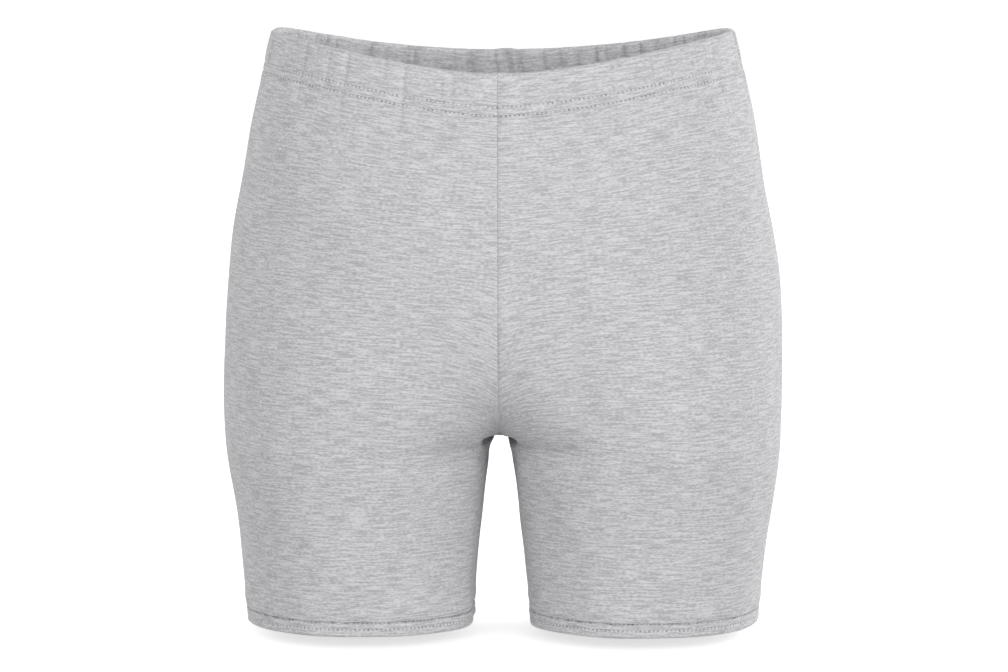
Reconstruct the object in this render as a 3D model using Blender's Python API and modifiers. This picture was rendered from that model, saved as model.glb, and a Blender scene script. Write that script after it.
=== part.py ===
"""Hot pants of grey melange jersey, hollow and filled out as when worn, open at the waist and both hems.

Metres, +Z up, front towards -Y, the wearer's left towards +X. The origin is the centre of the waist opening.
Each leg is cut in one piece, from centre front round the side to centre back. Its top is turned in over a
flat elastic and its foot is turned up, so the two legs meet only at the centre seam and the crotch.
Each wall follows horizontal sections of the filled-out form, taken round the axis of its leg.
"""
import math

import bmesh
import bpy
import numpy as np
from mathutils import Vector

# Cloth, elastic and the gap that parts two pieces at a seam
CLOTH = 0.0011
ELASTIC = 0.0010
ELASTIC_WIDTH = 0.020
ELASTIC_TOP = 0.0028
SEAM_GAP = 0.0003

# Heights, given as the drop below the level of the waist opening's centre. The two powers shape how the waist's
# top edge dips from the sides to the centre front and to the centre back
SIDE_RISE = 0.0105
WAIST_DIP = 0.0210
WAIST_FRONT_POWER = 1.5
WAIST_BACK_POWER = 2.4
CROTCH_DROP = 0.2500
HEM_DROP = 0.3715

WAIST_SEAM_DROP = WAIST_DIP - SIDE_RISE

# The waist's turned casing, with the ease each side of its elastic, and the hems
CASING_DEPTH = 0.0270
CASING_EASE = 0.0004
CASING_THICKNESS = 2 * (CLOTH + CASING_EASE) + ELASTIC
CASING_TURN_IN = 0.0285
PANEL_TOP = CASING_DEPTH + SEAM_GAP
HEM_DEPTH = 0.0105
HEM_THICKNESS = 0.0025
HEM_TURN_UP = 0.0115

# The axis of the left leg, and how the two legs part below the hips
LEG_AXIS = (0.0920, 0.0060)
FORK_TOP = 0.1200
FORK_EASE = 2.0
SECTION_POWER = 2.3

# Sections of the filled-out form: how far each reaches to the side, to the front and to the back, and how far
# behind the middle it is widest
SECTIONS = (
    # drop, half width, front, back, widest at
    (-0.012, 0.1470, 0.0960, 0.0940, 0.000),
    (0.000, 0.1497, 0.0975, 0.0955, 0.000),
    (0.025, 0.1558, 0.1015, 0.0995, 0.000),
    (0.060, 0.1636, 0.1065, 0.1075, 0.001),
    (0.100, 0.1702, 0.1105, 0.1170, 0.003),
    (0.150, 0.1776, 0.1110, 0.1245, 0.006),
    (0.200, 0.1805, 0.1070, 0.1245, 0.008),
    (0.250, 0.1793, 0.0990, 0.1130, 0.008),
    (0.300, 0.1735, 0.0895, 0.0975, 0.006),
    (0.340, 0.1683, 0.0830, 0.0885, 0.004),
    (0.374, 0.1649, 0.0790, 0.0835, 0.003),
)

# Half the gap between the legs, below the crotch
LEG_GAPS = (
    # drop, half gap
    (0.250, 0.0000),
    (0.251, 0.0031),
    (0.255, 0.0049),
    (0.262, 0.0073),
    (0.272, 0.0088),
    (0.285, 0.0106),
    (0.300, 0.0122),
    (0.330, 0.0156),
    (0.355, 0.0176),
    (0.374, 0.0179),
)

# Drag folds that run from the crotch to the hip, and the soft break below the seat. An angle is taken round
# the leg's axis from its outer side, in degrees, negative to the front
FOLDS = (
    # from angle, from drop, to angle, to drop, half width, height
    (-134, 0.232, -94, 0.180, 0.016, -0.0012),
    (-126, 0.252, -84, 0.226, 0.016, -0.0010),
    (132, 0.236, 94, 0.204, 0.018, -0.0015),
    (128, 0.272, 70, 0.278, 0.018, -0.0016),
    (126, 0.206, 100, 0.160, 0.018, -0.0010),
)
FOLD_RADIUS = 0.095

# Gathers that the elastic draws up, for each half of the waist: their number, how unevenly they lie, the
# share of the casing's depth where they are highest, and how far they stand out on the face and the inside
GATHERS = 28
GATHER_SWAY = 0.34
GATHER_STEPS = 4
GATHER_CREST = 0.45
FACE_GATHER = 0.0006
INSIDE_GATHER = 0.0010

# How finely the walls are divided
RISE_ROWS = 15
LEG_ROWS = 9
PANEL_COLUMNS = 40
ELASTIC_COLUMNS = 56
TURN_POINTS = 4
CURVE_SAMPLES = 240
HALVINGS = 36

# How far the courses sag beside the crotch, and where the sag starts on the way from the side to the edge
COURSE_SAG = 0.010
SAG_SPREAD = 0.22
EDGE_PULL_START = 0.35
SAG_START = 0.45

JERSEY_GREY = (0.533, 0.539, 0.552, 1.0)
ELASTIC_WHITE = (0.78, 0.77, 0.74, 1.0)


def smooth_column(table, column, drop):
    """One column of a table at the given drops, on a smooth curve through the table's rows."""
    table = np.array(table)
    at, value = table[:, 0], table[:, column]
    slope = np.gradient(value, at)
    row = np.clip(np.searchsorted(at, drop) - 1, 0, len(at) - 2)
    span = at[row + 1] - at[row]
    t = np.clip((drop - at[row]) / span, 0.0, 1.0)
    bend = t * (1 - t) * span
    line = value[row] + (value[row + 1] - value[row]) * t * t * (3 - 2 * t)
    return line + bend * (slope[row] * (1 - t) - slope[row + 1] * t)


def section(drop):
    """Centre, half width, front depth, back depth and widest place of the left leg's section."""
    half_width = smooth_column(SECTIONS, 1, drop)
    widest = smooth_column(SECTIONS, 4, drop)
    front = smooth_column(SECTIONS, 2, drop) + widest
    back = smooth_column(SECTIONS, 3, drop) - widest
    fork = np.clip((drop - FORK_TOP) / (CROTCH_DROP - FORK_TOP), 0.0, 1.0) ** FORK_EASE
    inner = np.where(
        drop < CROTCH_DROP,
        -half_width * (1 - fork) / (1 + fork),
        smooth_column(LEG_GAPS, 1, drop),
    )
    return (half_width + inner) / 2, (half_width - inner) / 2, front, back, widest


def face_point(angle, drop):
    """Points of the left leg's outer face, at angles round its axis from the outer side, in radians."""
    centre, reach, front, back, widest = section(drop)
    near = np.zeros_like(angle + drop)
    far = near + 2 * LEG_AXIS[0]
    for _ in range(HALVINGS):
        middle = (near + far) / 2
        x = LEG_AXIS[0] + middle * np.cos(angle)
        y = LEG_AXIS[1] + middle * np.sin(angle)
        depth = np.where(y < widest, front, back)
        inside = (
            np.abs((x - centre) / reach) ** SECTION_POWER + np.abs((y - widest) / depth) ** SECTION_POWER < 1
        )
        near = np.where(inside, middle, near)
        far = np.where(inside, far, middle)
    return np.stack([x, y, -drop + np.zeros_like(x)], axis=-1)


def face_normal(angle, drop):
    """The outward direction of the outer face at the same places."""
    turn, lift = 0.004, 0.0006
    round_leg = face_point(angle + turn, drop) - face_point(angle - turn, drop)
    down_leg = face_point(angle, drop + lift) - face_point(angle, drop - lift)
    normal = np.cross(down_leg, round_leg)
    return normal / np.linalg.norm(normal, axis=-1, keepdims=True)


def waist_drop(angle):
    """The drop of the waist's top edge, highest at the sides and drawn down to the centre front."""
    place = face_point(angle, np.zeros_like(angle))
    x, y = place[..., 0], place[..., 1]
    across = np.minimum(np.abs(x) / SECTIONS[1][1], 1.0)
    share = np.abs(y / np.where(y < 0, SECTIONS[1][2], SECTIONS[1][3]))
    front = (1 - across**WAIST_FRONT_POWER) * share
    return WAIST_DIP * np.where(y < 0, front, share**WAIST_BACK_POWER) - SIDE_RISE


def seam_edge(rise, to_front, top_drop):
    """Angle and drop of a panel's edge, for a rise of 0 at its top, 1 at the crotch and 2 at its foot."""
    sign = -1.0 if to_front else 1.0
    last_angle = math.pi - SEAM_GAP / 2 / LEG_AXIS[0]
    way = np.linspace(0.0, 1.0, 2 * CURVE_SAMPLES)
    drop = CROTCH_DROP - (CROTCH_DROP - top_drop) * (1 - way) ** 2
    centre, reach, front, back, widest = section(drop)
    share = (1 - np.clip((centre - SEAM_GAP / 2) / reach, 0, 1) ** SECTION_POWER) ** (1 / SECTION_POWER)
    y = widest + sign * (front if to_front else back) * share
    length = np.concatenate([[0.0], np.cumsum(np.hypot(np.diff(y), np.diff(drop)))])
    straight = CROTCH_DROP - top_drop
    down = np.clip(rise, 0, 1)
    target = straight * down + (length[-1] - straight) * down**3
    angle = np.arctan2(np.interp(target, length, y) - LEG_AXIS[1], SEAM_GAP / 2 - LEG_AXIS[0])
    angle = np.where(rise < 1, np.minimum(np.abs(angle), last_angle), last_angle)
    leg = CROTCH_DROP + (HEM_DROP - HEM_DEPTH - SEAM_GAP - CROTCH_DROP) * np.clip(rise - 1, 0, 1)
    return sign * angle, np.where(rise < 1, np.interp(target, length, drop), leg)


def course(rise, shares):
    """Angles and drops of one course of the panel, at shares from 0 at centre front to 1 at centre back."""
    halves = []
    for to_front in (True, False):
        end_angle, end_drop = seam_edge(np.array(rise), to_front, WAIST_SEAM_DROP + PANEL_TOP)
        t = np.linspace(0.0, 1.0, CURVE_SAMPLES)
        angle = end_angle * t
        if rise < 1:
            drop = (waist_drop(angle) + PANEL_TOP) * (1 - rise) + CROTCH_DROP * rise
        else:
            drop = np.full_like(t, end_drop)
        pull = np.clip((t - EDGE_PULL_START) / (1 - EDGE_PULL_START), 0, 1) ** 2
        sag = np.sin(math.pi * np.clip((t - SAG_START) / (1 - SAG_START), 0, 1)) ** 2
        drop = drop + (end_drop - drop[-1]) * pull
        drop = drop + COURSE_SAG * math.exp(-(((rise - 1) / SAG_SPREAD) ** 2)) * sag
        halves.append((angle, drop) if not to_front else (angle[::-1], drop[::-1]))
    angle = np.concatenate([halves[0][0], halves[1][0][1:]])
    drop = np.concatenate([halves[0][1], halves[1][1][1:]])
    return even_steps(angle, drop, shares)


def even_steps(angle, drop, shares):
    """The same course read at shares of its length, with the side at a share of one half."""
    places = face_point(angle, drop)
    length = np.concatenate([[0.0], np.cumsum(np.linalg.norm(np.diff(places, axis=0), axis=1))])
    side = length[len(length) // 2]
    share = np.where(length < side, length / side / 2, 0.5 + (length - side) / (length[-1] - side) / 2)
    return np.interp(shares, share, angle), np.interp(shares, share, drop)


def fold_height(angle, drop):
    """How far the drag folds push the cloth out at each place."""
    total = np.zeros_like(angle)
    for from_angle, from_drop, to_angle, to_drop, half_width, height in FOLDS:
        start = np.array([math.radians(from_angle) * FOLD_RADIUS, from_drop])
        run = np.array([math.radians(to_angle) * FOLD_RADIUS, to_drop]) - start
        x, y = angle * FOLD_RADIUS - start[0], drop - start[1]
        along = (x * run[0] + y * run[1]) / (run @ run)
        aside = (x * run[1] - y * run[0]) / math.hypot(*run)
        taper = np.sin(math.pi * np.clip(along, 0, 1))
        total += height * taper * np.exp(-((aside / half_width) ** 2))
    return total


def panel_points():
    """The outer face of the left leg panel, a row for each course drawn, from the hem up."""
    shares = np.linspace(0.0, 1.0, PANEL_COLUMNS + 1)
    rises = np.concatenate([np.linspace(0, 1, RISE_ROWS + 1), np.linspace(1, 2, LEG_ROWS + 1)[1:]])
    courses = [course(rise, shares) for rise in rises]
    angle = np.array([c[0] for c in courses])
    drop = np.array([c[1] for c in courses])
    points = face_point(angle, drop) + face_normal(angle, drop) * fold_height(angle, drop)[..., None]
    points[: RISE_ROWS + 1, [0, -1], 0] = SEAM_GAP / 2
    points[..., 0] = np.maximum(points[..., 0], SEAM_GAP / 2)
    return points[::-1]


def gather_places(phase):
    """Shares of the half waist where each gather's hollow, flanks and crest lie, and their heights.

    The cloth lies flat for one step beside each seam, so that the two halves stay apart.
    """
    number = np.arange(GATHERS)
    sway = np.sin(2.4 * number + phase) + 0.5 * np.sin(5.3 * number + 2 * phase)
    width = 1 + GATHER_SWAY * sway
    strength = 0.65 + 0.35 * np.sin(1.7 * number + 3 * phase)
    start = np.concatenate([[0.0], np.cumsum(width) / width.sum()])
    step = np.arange(GATHERS * GATHER_STEPS + 1) / GATHER_STEPS
    shares = np.interp(step, np.arange(GATHERS + 1), start)
    wave = (1 - np.cos(2 * math.pi * step)) / 2 * np.append(np.repeat(strength, GATHER_STEPS), 0.0)
    wave[[1, -2]] = 0.0
    return shares, wave


def casing_points(phase):
    """The skin of the left half casing: up the face, over the fold and down the inside."""
    shares, wave = gather_places(phase)
    radius = CASING_THICKNESS / 2
    # depth below the top edge, distance in from the face, shares of the face gather and the inside gather
    profile = [(CASING_DEPTH, 0.0, 0.15, 0.0), (CASING_DEPTH * GATHER_CREST, 0.0, 1.0, 0.0)]
    for turn in np.linspace(0.0, math.pi, TURN_POINTS):
        inside = (1 - math.cos(turn)) / 2
        profile.append((radius * (1 - math.sin(turn)), CASING_THICKNESS * inside, 0.5 * (1 - inside), inside))
    profile.append((CASING_TURN_IN, CASING_THICKNESS, 0.0, 0.4))
    rows = []
    for depth, inward, face_share, inside_share in profile:
        angle, drop = waist_course(depth, shares)
        out = FACE_GATHER * face_share * wave - inward - INSIDE_GATHER * inside_share * wave
        rows.append(face_point(angle, drop) + face_normal(angle, drop) * out[:, None])
    points = np.array(rows)
    points[:, [0, -1], 0] = SEAM_GAP / 2
    return points


def waist_course(depth, shares):
    """Angles and drops along a line that runs round at a depth below the waist's top edge."""
    front = float(seam_edge(np.array(0.0), True, WAIST_SEAM_DROP + depth)[0])
    back = float(seam_edge(np.array(0.0), False, WAIST_SEAM_DROP + depth)[0])
    to_side = np.linspace(front, 0.0, CURVE_SAMPLES)
    angle = np.concatenate([to_side, np.linspace(0.0, back, CURVE_SAMPLES)[1:]])
    return even_steps(angle, waist_drop(angle) + depth, shares)


def hem_points():
    """The skin of the left hem, from its raw edge down the inside, round the fold and up the face."""
    radius = HEM_THICKNESS / 2
    # height above the fold, distance in from the face
    profile = [(HEM_TURN_UP, HEM_THICKNESS)]
    for turn in np.linspace(math.pi, 0.0, TURN_POINTS):
        profile.append((radius * (1 - math.sin(turn)), radius * (1 - math.cos(turn))))
    profile += [(HEM_DEPTH / 2, 0.0), (HEM_DEPTH, 0.0)]
    shares = np.linspace(0.0, 1.0, PANEL_COLUMNS + 1)
    last_angle = math.pi - SEAM_GAP / 2 / LEG_AXIS[0]
    sweep = np.linspace(-last_angle, last_angle, 2 * CURVE_SAMPLES + 1)
    angle, _ = even_steps(sweep, np.full_like(sweep, HEM_DROP), shares)
    rows = []
    for height, inward in profile:
        drop = np.full_like(angle, HEM_DROP - height)
        rows.append(face_point(angle, drop) - face_normal(angle, drop) * inward)
    return np.array(rows)


def elastic_points():
    """The outer face of the elastic's left half, inside the casing."""
    shares = np.linspace(0.0, 1.0, ELASTIC_COLUMNS + 1)
    inward = (CASING_THICKNESS - ELASTIC) / 2
    rows = []
    for depth in (ELASTIC_TOP + ELASTIC_WIDTH, ELASTIC_TOP):
        angle, drop = waist_course(depth, shares)
        rows.append(face_point(angle, drop) - face_normal(angle, drop) * inward)
    points = np.array(rows)
    points[:, [0, -1], 0] = 0.0
    return points


def material(name, colour, roughness):
    """A plain fabric finish."""
    finish = bpy.data.materials.new(name)
    finish.use_nodes = True
    shader = finish.node_tree.nodes["Principled BSDF"]
    shader.inputs["Base Color"].default_value = colour
    shader.inputs["Roughness"].default_value = roughness
    shader.inputs["Metallic"].default_value = 0.0
    return finish


def wall(name, points, thickness, finish, collection, parent):
    """A wall that reaches inwards by its thickness from a grid of points on its skin."""
    rows, columns = points.shape[:2]
    sheet = bmesh.new()
    bmesh.ops.create_grid(sheet, x_segments=columns - 1, y_segments=rows - 1, size=1.0)
    for vertex, place in zip(sheet.verts, points.reshape(-1, 3)):
        vertex.co = Vector(place)
    bmesh.ops.remove_doubles(sheet, verts=sheet.verts, dist=SEAM_GAP / 30)
    bmesh.ops.triangulate(sheet, faces=sheet.faces, quad_method="SHORT_EDGE")
    mesh = bpy.data.meshes.new(name)
    sheet.to_mesh(mesh)
    sheet.free()
    mesh.materials.append(finish)
    piece = bpy.data.objects.new(name, mesh)
    piece.parent = parent
    collection.objects.link(piece)
    solidify = piece.modifiers.new("wall", "SOLIDIFY")
    solidify.thickness = thickness
    solidify.offset = -1.0
    solidify.use_even_offset = True
    return piece


def mirrored(points):
    """The right side's grid, with its columns reversed so that its skin still faces out."""
    return (points * np.array([-1.0, 1.0, 1.0]))[:, ::-1]


def clear_scene():
    for thing in list(bpy.data.objects):
        bpy.data.objects.remove(thing, do_unlink=True)


def build():
    clear_scene()
    collection = bpy.data.collections.new("hot_pants")
    bpy.context.scene.collection.children.link(collection)
    waist = bpy.data.objects.new("waist_opening", None)
    collection.objects.link(waist)
    jersey = material("grey_melange_jersey", JERSEY_GREY, 0.95)
    band = material("woven_elastic", ELASTIC_WHITE, 0.8)

    panel = panel_points()
    hem = hem_points()
    for side, place, phase in (("left", lambda grid: grid, 0.4), ("right", mirrored, 1.9)):
        wall(f"leg_panel_{side}", place(panel), CLOTH, jersey, collection, waist)
        wall(f"waist_casing_{side}", place(casing_points(phase)), CLOTH, jersey, collection, waist)
        wall(f"hem_{side}", place(hem), CLOTH, jersey, collection, waist)
    elastic = elastic_points()
    ring = np.concatenate([elastic, mirrored(elastic)[:, 1:]], axis=1)
    wall("waist_elastic", ring, ELASTIC, band, collection, waist)


build()
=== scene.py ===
import math

import bpy
import numpy as np
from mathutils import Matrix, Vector


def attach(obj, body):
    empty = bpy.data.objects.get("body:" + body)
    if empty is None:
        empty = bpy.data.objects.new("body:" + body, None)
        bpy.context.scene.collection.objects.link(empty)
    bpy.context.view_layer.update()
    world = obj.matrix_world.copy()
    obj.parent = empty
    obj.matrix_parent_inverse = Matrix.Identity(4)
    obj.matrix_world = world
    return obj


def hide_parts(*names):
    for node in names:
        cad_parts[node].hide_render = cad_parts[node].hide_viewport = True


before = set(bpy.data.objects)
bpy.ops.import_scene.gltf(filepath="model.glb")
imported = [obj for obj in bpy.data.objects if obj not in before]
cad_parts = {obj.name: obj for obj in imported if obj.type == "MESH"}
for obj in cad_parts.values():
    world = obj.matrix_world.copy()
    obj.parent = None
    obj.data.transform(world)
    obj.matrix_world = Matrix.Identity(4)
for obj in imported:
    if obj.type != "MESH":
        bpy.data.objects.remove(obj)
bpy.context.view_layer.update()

# Leg cloth. Each side is one piece of grey melange single jersey, cut from centre front round the side to
# centre back. Its top is turned in over the elastic as a casing and its foot is turned up as a hem. The two
# pieces are sewn to each other down the centre, and each to itself along its inseam
CLOTH = 0.0009
CAD_CLOTH = 0.0011
ELASTIC = 0.0010
CASING_EASE = 0.0004
SEAM_GAP = 0.00003
SIDE_RISE = 0.0105
WAIST_DIP = 0.0210
WAIST_FRONT_POWER = 1.5
WAIST_BACK_POWER = 2.4
WAIST_SEAM_DROP = WAIST_DIP - SIDE_RISE
CROTCH_DROP = 0.2500
HEM_DROP = 0.3715
CASING_DEPTH = 0.0270
CASING_THICKNESS = 2 * (CAD_CLOTH + CASING_EASE) + ELASTIC
CASING_TURN_IN = 0.0285
PANEL_TOP = CASING_DEPTH + 0.0003
HEM_DEPTH = 0.0105
HEM_THICKNESS = 0.0025
HEM_TURN_UP = 0.0115
LEG_AXIS = (0.0920, 0.0060)
FORK_TOP = 0.1200
FORK_EASE = 2.0
SECTION_POWER = 2.3
SECTIONS = (
    # drop, half width, front, back, widest at
    (-0.012, 0.1470, 0.0960, 0.0940, 0.000),
    (0.000, 0.1497, 0.0975, 0.0955, 0.000),
    (0.025, 0.1558, 0.1015, 0.0995, 0.000),
    (0.060, 0.1636, 0.1065, 0.1075, 0.001),
    (0.100, 0.1702, 0.1105, 0.1170, 0.003),
    (0.150, 0.1776, 0.1110, 0.1245, 0.006),
    (0.200, 0.1805, 0.1070, 0.1245, 0.008),
    (0.250, 0.1793, 0.0990, 0.1130, 0.008),
    (0.300, 0.1735, 0.0895, 0.0975, 0.006),
    (0.340, 0.1683, 0.0830, 0.0885, 0.004),
    (0.374, 0.1649, 0.0790, 0.0835, 0.003),
)
LEG_GAPS = (
    # drop, half gap
    (0.250, 0.0000),
    (0.251, 0.0031),
    (0.255, 0.0049),
    (0.262, 0.0073),
    (0.272, 0.0088),
    (0.285, 0.0106),
    (0.300, 0.0122),
    (0.330, 0.0156),
    (0.355, 0.0176),
    (0.374, 0.0179),
)
CURVE_SAMPLES = 320
HALVINGS = 32


def smooth_column(table, column, drop):
    """One column of a table at the given drops, on a smooth curve through the table's rows."""
    table = np.array(table)
    at, value = table[:, 0], table[:, column]
    slope = np.gradient(value, at)
    row = np.clip(np.searchsorted(at, drop) - 1, 0, len(at) - 2)
    span = at[row + 1] - at[row]
    t = np.clip((drop - at[row]) / span, 0.0, 1.0)
    bend = t * (1 - t) * span
    line = value[row] + (value[row + 1] - value[row]) * t * t * (3 - 2 * t)
    return line + bend * (slope[row] * (1 - t) - slope[row + 1] * t)


def section(drop):
    """Centre, half width, front depth, back depth and widest place of the left leg's section."""
    half_width = smooth_column(SECTIONS, 1, drop)
    widest = smooth_column(SECTIONS, 4, drop)
    front = smooth_column(SECTIONS, 2, drop) + widest
    back = smooth_column(SECTIONS, 3, drop) - widest
    fork = np.clip((drop - FORK_TOP) / (CROTCH_DROP - FORK_TOP), 0.0, 1.0) ** FORK_EASE
    inner = np.where(
        drop < CROTCH_DROP,
        -half_width * (1 - fork) / (1 + fork),
        smooth_column(LEG_GAPS, 1, drop),
    )
    return (half_width + inner) / 2, (half_width - inner) / 2, front, back, widest


def face_point(angle, drop):
    """Points of the left leg's outer face, at angles round its axis from the outer side, in radians."""
    centre, reach, front, back, widest = section(drop)
    near = np.zeros_like(angle + drop)
    far = near + 2 * LEG_AXIS[0]
    for _ in range(HALVINGS):
        middle = (near + far) / 2
        x = LEG_AXIS[0] + middle * np.cos(angle)
        y = LEG_AXIS[1] + middle * np.sin(angle)
        depth = np.where(y < widest, front, back)
        across = np.abs((x - centre) / reach) ** SECTION_POWER
        inside = across + np.abs((y - widest) / depth) ** SECTION_POWER < 1
        near = np.where(inside, middle, near)
        far = np.where(inside, far, middle)
    return np.stack([x, y, -drop + np.zeros_like(x)], axis=-1)


def face_normal(angle, drop):
    """The outward direction of the outer face at the same places."""
    turn, lift = 0.004, 0.0006
    round_leg = face_point(angle + turn, drop) - face_point(angle - turn, drop)
    down_leg = face_point(angle, drop + lift) - face_point(angle, drop - lift)
    normal = np.cross(down_leg, round_leg)
    return normal / np.linalg.norm(normal, axis=-1, keepdims=True)


def waist_drop(angle):
    """The drop of the waist's top edge, highest at the sides and drawn down to the centre front."""
    place = face_point(angle, np.zeros_like(angle))
    x, y = place[..., 0], place[..., 1]
    across = np.minimum(np.abs(x) / SECTIONS[1][1], 1.0)
    share = np.abs(y / np.where(y < 0, SECTIONS[1][2], SECTIONS[1][3]))
    front = (1 - across**WAIST_FRONT_POWER) * share
    return WAIST_DIP * np.where(y < 0, front, share**WAIST_BACK_POWER) - SIDE_RISE


def seam_edge(rise, to_front, top_drop):
    """Angle and drop of a panel's edge, for a rise of 0 at its top, 1 at the crotch and 2 at its foot."""
    sign = -1.0 if to_front else 1.0
    last_angle = math.pi - SEAM_GAP / 2 / LEG_AXIS[0]
    way = np.linspace(0.0, 1.0, 2 * CURVE_SAMPLES)
    drop = CROTCH_DROP - (CROTCH_DROP - top_drop) * (1 - way) ** 2
    centre, reach, front, back, widest = section(drop)
    share = (1 - np.clip((centre - SEAM_GAP / 2) / reach, 0, 1) ** SECTION_POWER) ** (1 / SECTION_POWER)
    y = widest + sign * (front if to_front else back) * share
    length = np.concatenate([[0.0], np.cumsum(np.hypot(np.diff(y), np.diff(drop)))])
    straight = CROTCH_DROP - top_drop
    down = np.clip(rise, 0, 1)
    target = straight * down + (length[-1] - straight) * down**3
    angle = np.arctan2(np.interp(target, length, y) - LEG_AXIS[1], SEAM_GAP / 2 - LEG_AXIS[0])
    angle = np.where(rise < 1, np.minimum(np.abs(angle), last_angle), last_angle)
    leg = CROTCH_DROP + (HEM_DROP - HEM_DEPTH - CROTCH_DROP) * np.clip(rise - 1, 0, 1)
    return sign * angle, np.where(rise < 1, np.interp(target, length, drop), leg)


def even_steps(angle, drop, shares):
    """A course read at shares of its length, with the side at a share of one half."""
    places = face_point(angle, drop)
    length = np.concatenate([[0.0], np.cumsum(np.linalg.norm(np.diff(places, axis=0), axis=1))])
    side = length[len(length) // 2]
    share = np.where(length < side, length / side / 2, 0.5 + (length - side) / (length[-1] - side) / 2)
    return np.interp(shares, share, angle), np.interp(shares, share, drop)


# How far the rows of the mesh sag beside the crotch, and where the sag starts on the way from side to edge
COURSE_SAG = 0.010
SAG_SPREAD = 0.22
EDGE_PULL_START = 0.35
SAG_START = 0.45


def course(rise, shares):
    """Angles and drops of one row of the leg, at shares from 0 at centre front to 1 at centre back."""
    halves = []
    for to_front in (True, False):
        end_angle, end_drop = seam_edge(np.array(rise), to_front, WAIST_SEAM_DROP + PANEL_TOP)
        t = np.linspace(0.0, 1.0, CURVE_SAMPLES)
        angle = end_angle * t
        if rise < 1:
            drop = (waist_drop(angle) + PANEL_TOP) * (1 - rise) + CROTCH_DROP * rise
        else:
            drop = np.full_like(t, end_drop)
        pull = np.clip((t - EDGE_PULL_START) / (1 - EDGE_PULL_START), 0, 1) ** 2
        sag = np.sin(math.pi * np.clip((t - SAG_START) / (1 - SAG_START), 0, 1)) ** 2
        drop = drop + (end_drop - drop[-1]) * pull
        drop = drop + COURSE_SAG * math.exp(-(((rise - 1) / SAG_SPREAD) ** 2)) * sag
        halves.append((angle, drop) if not to_front else (angle[::-1], drop[::-1]))
    angle = np.concatenate([halves[0][0], halves[1][0][1:]])
    drop = np.concatenate([halves[0][1], halves[1][1][1:]])
    return even_steps(angle, drop, shares)


def waist_course(depth, shares):
    """Angles and drops along a line that runs round at a depth below the waist's top edge."""
    front = float(seam_edge(np.array(0.0), True, WAIST_SEAM_DROP + depth)[0])
    back = float(seam_edge(np.array(0.0), False, WAIST_SEAM_DROP + depth)[0])
    to_side = np.linspace(front, 0.0, CURVE_SAMPLES)
    angle = np.concatenate([to_side, np.linspace(0.0, back, CURVE_SAMPLES)[1:]])
    return even_steps(angle, waist_drop(angle) + depth, shares)


# Gathers that the elastic draws up in each half of the waist. Their widths, swells, creases and lengths
# follow sines of a gather's number, so that neighbours differ. The mesh has a column in each crease and six
# between two creases, and more columns beside both seams, at distances in metres
GATHERS = 34
GATHER_WIDTHS = (
    # share, turn from one gather to the next, start
    (0.34, 2.4, 0.4),
    (0.17, 5.3, 0.8),
)
GATHER_STEPS = (0.0, 0.08, 0.18, 0.38, 0.62, 0.82, 0.92)
SEAM_STEPS = (0.0, 0.0004, 0.0009, 0.0015, 0.0023, 0.0034, 0.0049, 0.0068)
SEAM_STEPS_CLEAR = 0.002
HALF_COURSE = 0.235
gather_numbers = np.arange(GATHERS)
gather_widths = 1 + sum(share * np.sin(turn * gather_numbers + start) for share, turn, start in GATHER_WIDTHS)
gather_starts = np.concatenate([[0.0], np.cumsum(gather_widths) / gather_widths.sum()])
gather_places = (gather_numbers[:, None] + np.array(GATHER_STEPS)).reshape(-1)
gather_shares = np.interp(gather_places, np.arange(GATHERS + 1), gather_starts)
near_seam = np.array(SEAM_STEPS) / HALF_COURSE / 2
first_clear = near_seam[-1] + SEAM_STEPS_CLEAR
between = gather_shares[(gather_shares > first_clear) & (gather_shares < 1 - first_clear)]
column_shares = np.concatenate([near_seam, between, 1 - near_seam[::-1]])

# Two needle rows of coverstitch hold the casing and two hold the hem. Each draws the cloth into a shallow
# groove, and the turned-in layers a little outwards
WAIST_ROWS = (0.0210, 0.0265)
HEM_ROWS = (0.0094, 0.0050)
GROOVE_WIDTH = 0.0006
STITCH = 0.0028
WAIST_GROOVES = (0.00045, 0.00060)
HEM_GROOVES = (0.00085, 0.00050)
INSIDE_GROOVE = 0.0002
HEM_INSIDE_SHARE = 0.5


def steps_near(start, end, coarse, places, fine=0.0003):
    """Distances from start to end, close together beside the given places."""
    found = list(np.arange(start, end, coarse)) + [end]
    for place in places:
        found = [d for d in found if abs(d - place) > 3.5 * fine or d in (start, end)]
        found += [place + fine * n for n in (-3, -2, -1, 0, 1, 2, 3) if start < place + fine * n < end]
    return sorted(found)


# The rows of the mesh, from the raw edge inside the hem up the leg and over the casing to the raw edge
# inside it. Each has its kind, its level (height on the hem, 0 to 1 on the rise and 1 to 2 on the leg, or
# depth below the waist edge), its distance in from the face, and its way along the cloth
FOLD_POINTS = 9
LEG_ROWS = 34
RISE_ROWS = 68
rows = []
hem_fold_end = HEM_DROP - HEM_THICKNESS + math.pi * HEM_THICKNESS / 2
hem_face = steps_near(HEM_THICKNESS / 2, HEM_DEPTH, 0.0019, HEM_ROWS)
hem_inside = steps_near(HEM_THICKNESS / 2, HEM_TURN_UP, 0.0024, HEM_ROWS[:1])
for height in hem_inside[::-1]:
    rows.append(("hem", height, HEM_THICKNESS, hem_fold_end + height))
for turn in np.linspace(math.pi, 0.0, FOLD_POINTS)[1:-1]:
    radius = HEM_THICKNESS / 2
    inward = radius * (1 - math.cos(turn))
    rows.append(("hem", radius * (1 - math.sin(turn)), inward, HEM_DROP - radius + turn * radius))
for height in hem_face:
    rows.append(("hem", height, 0.0, HEM_DROP - height))
for t in np.linspace(1.0, 0.0, LEG_ROWS + 1)[1:]:
    rows.append(("leg", 1 + 0.5 * t + 0.5 * t * t, 0.0, 0.0))
for t in np.linspace(0.0, 1.0, RISE_ROWS + 1)[1:]:
    rows.append(("leg", 1 - 0.8 * t - 0.2 * t * t, 0.0, 0.0))
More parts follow.
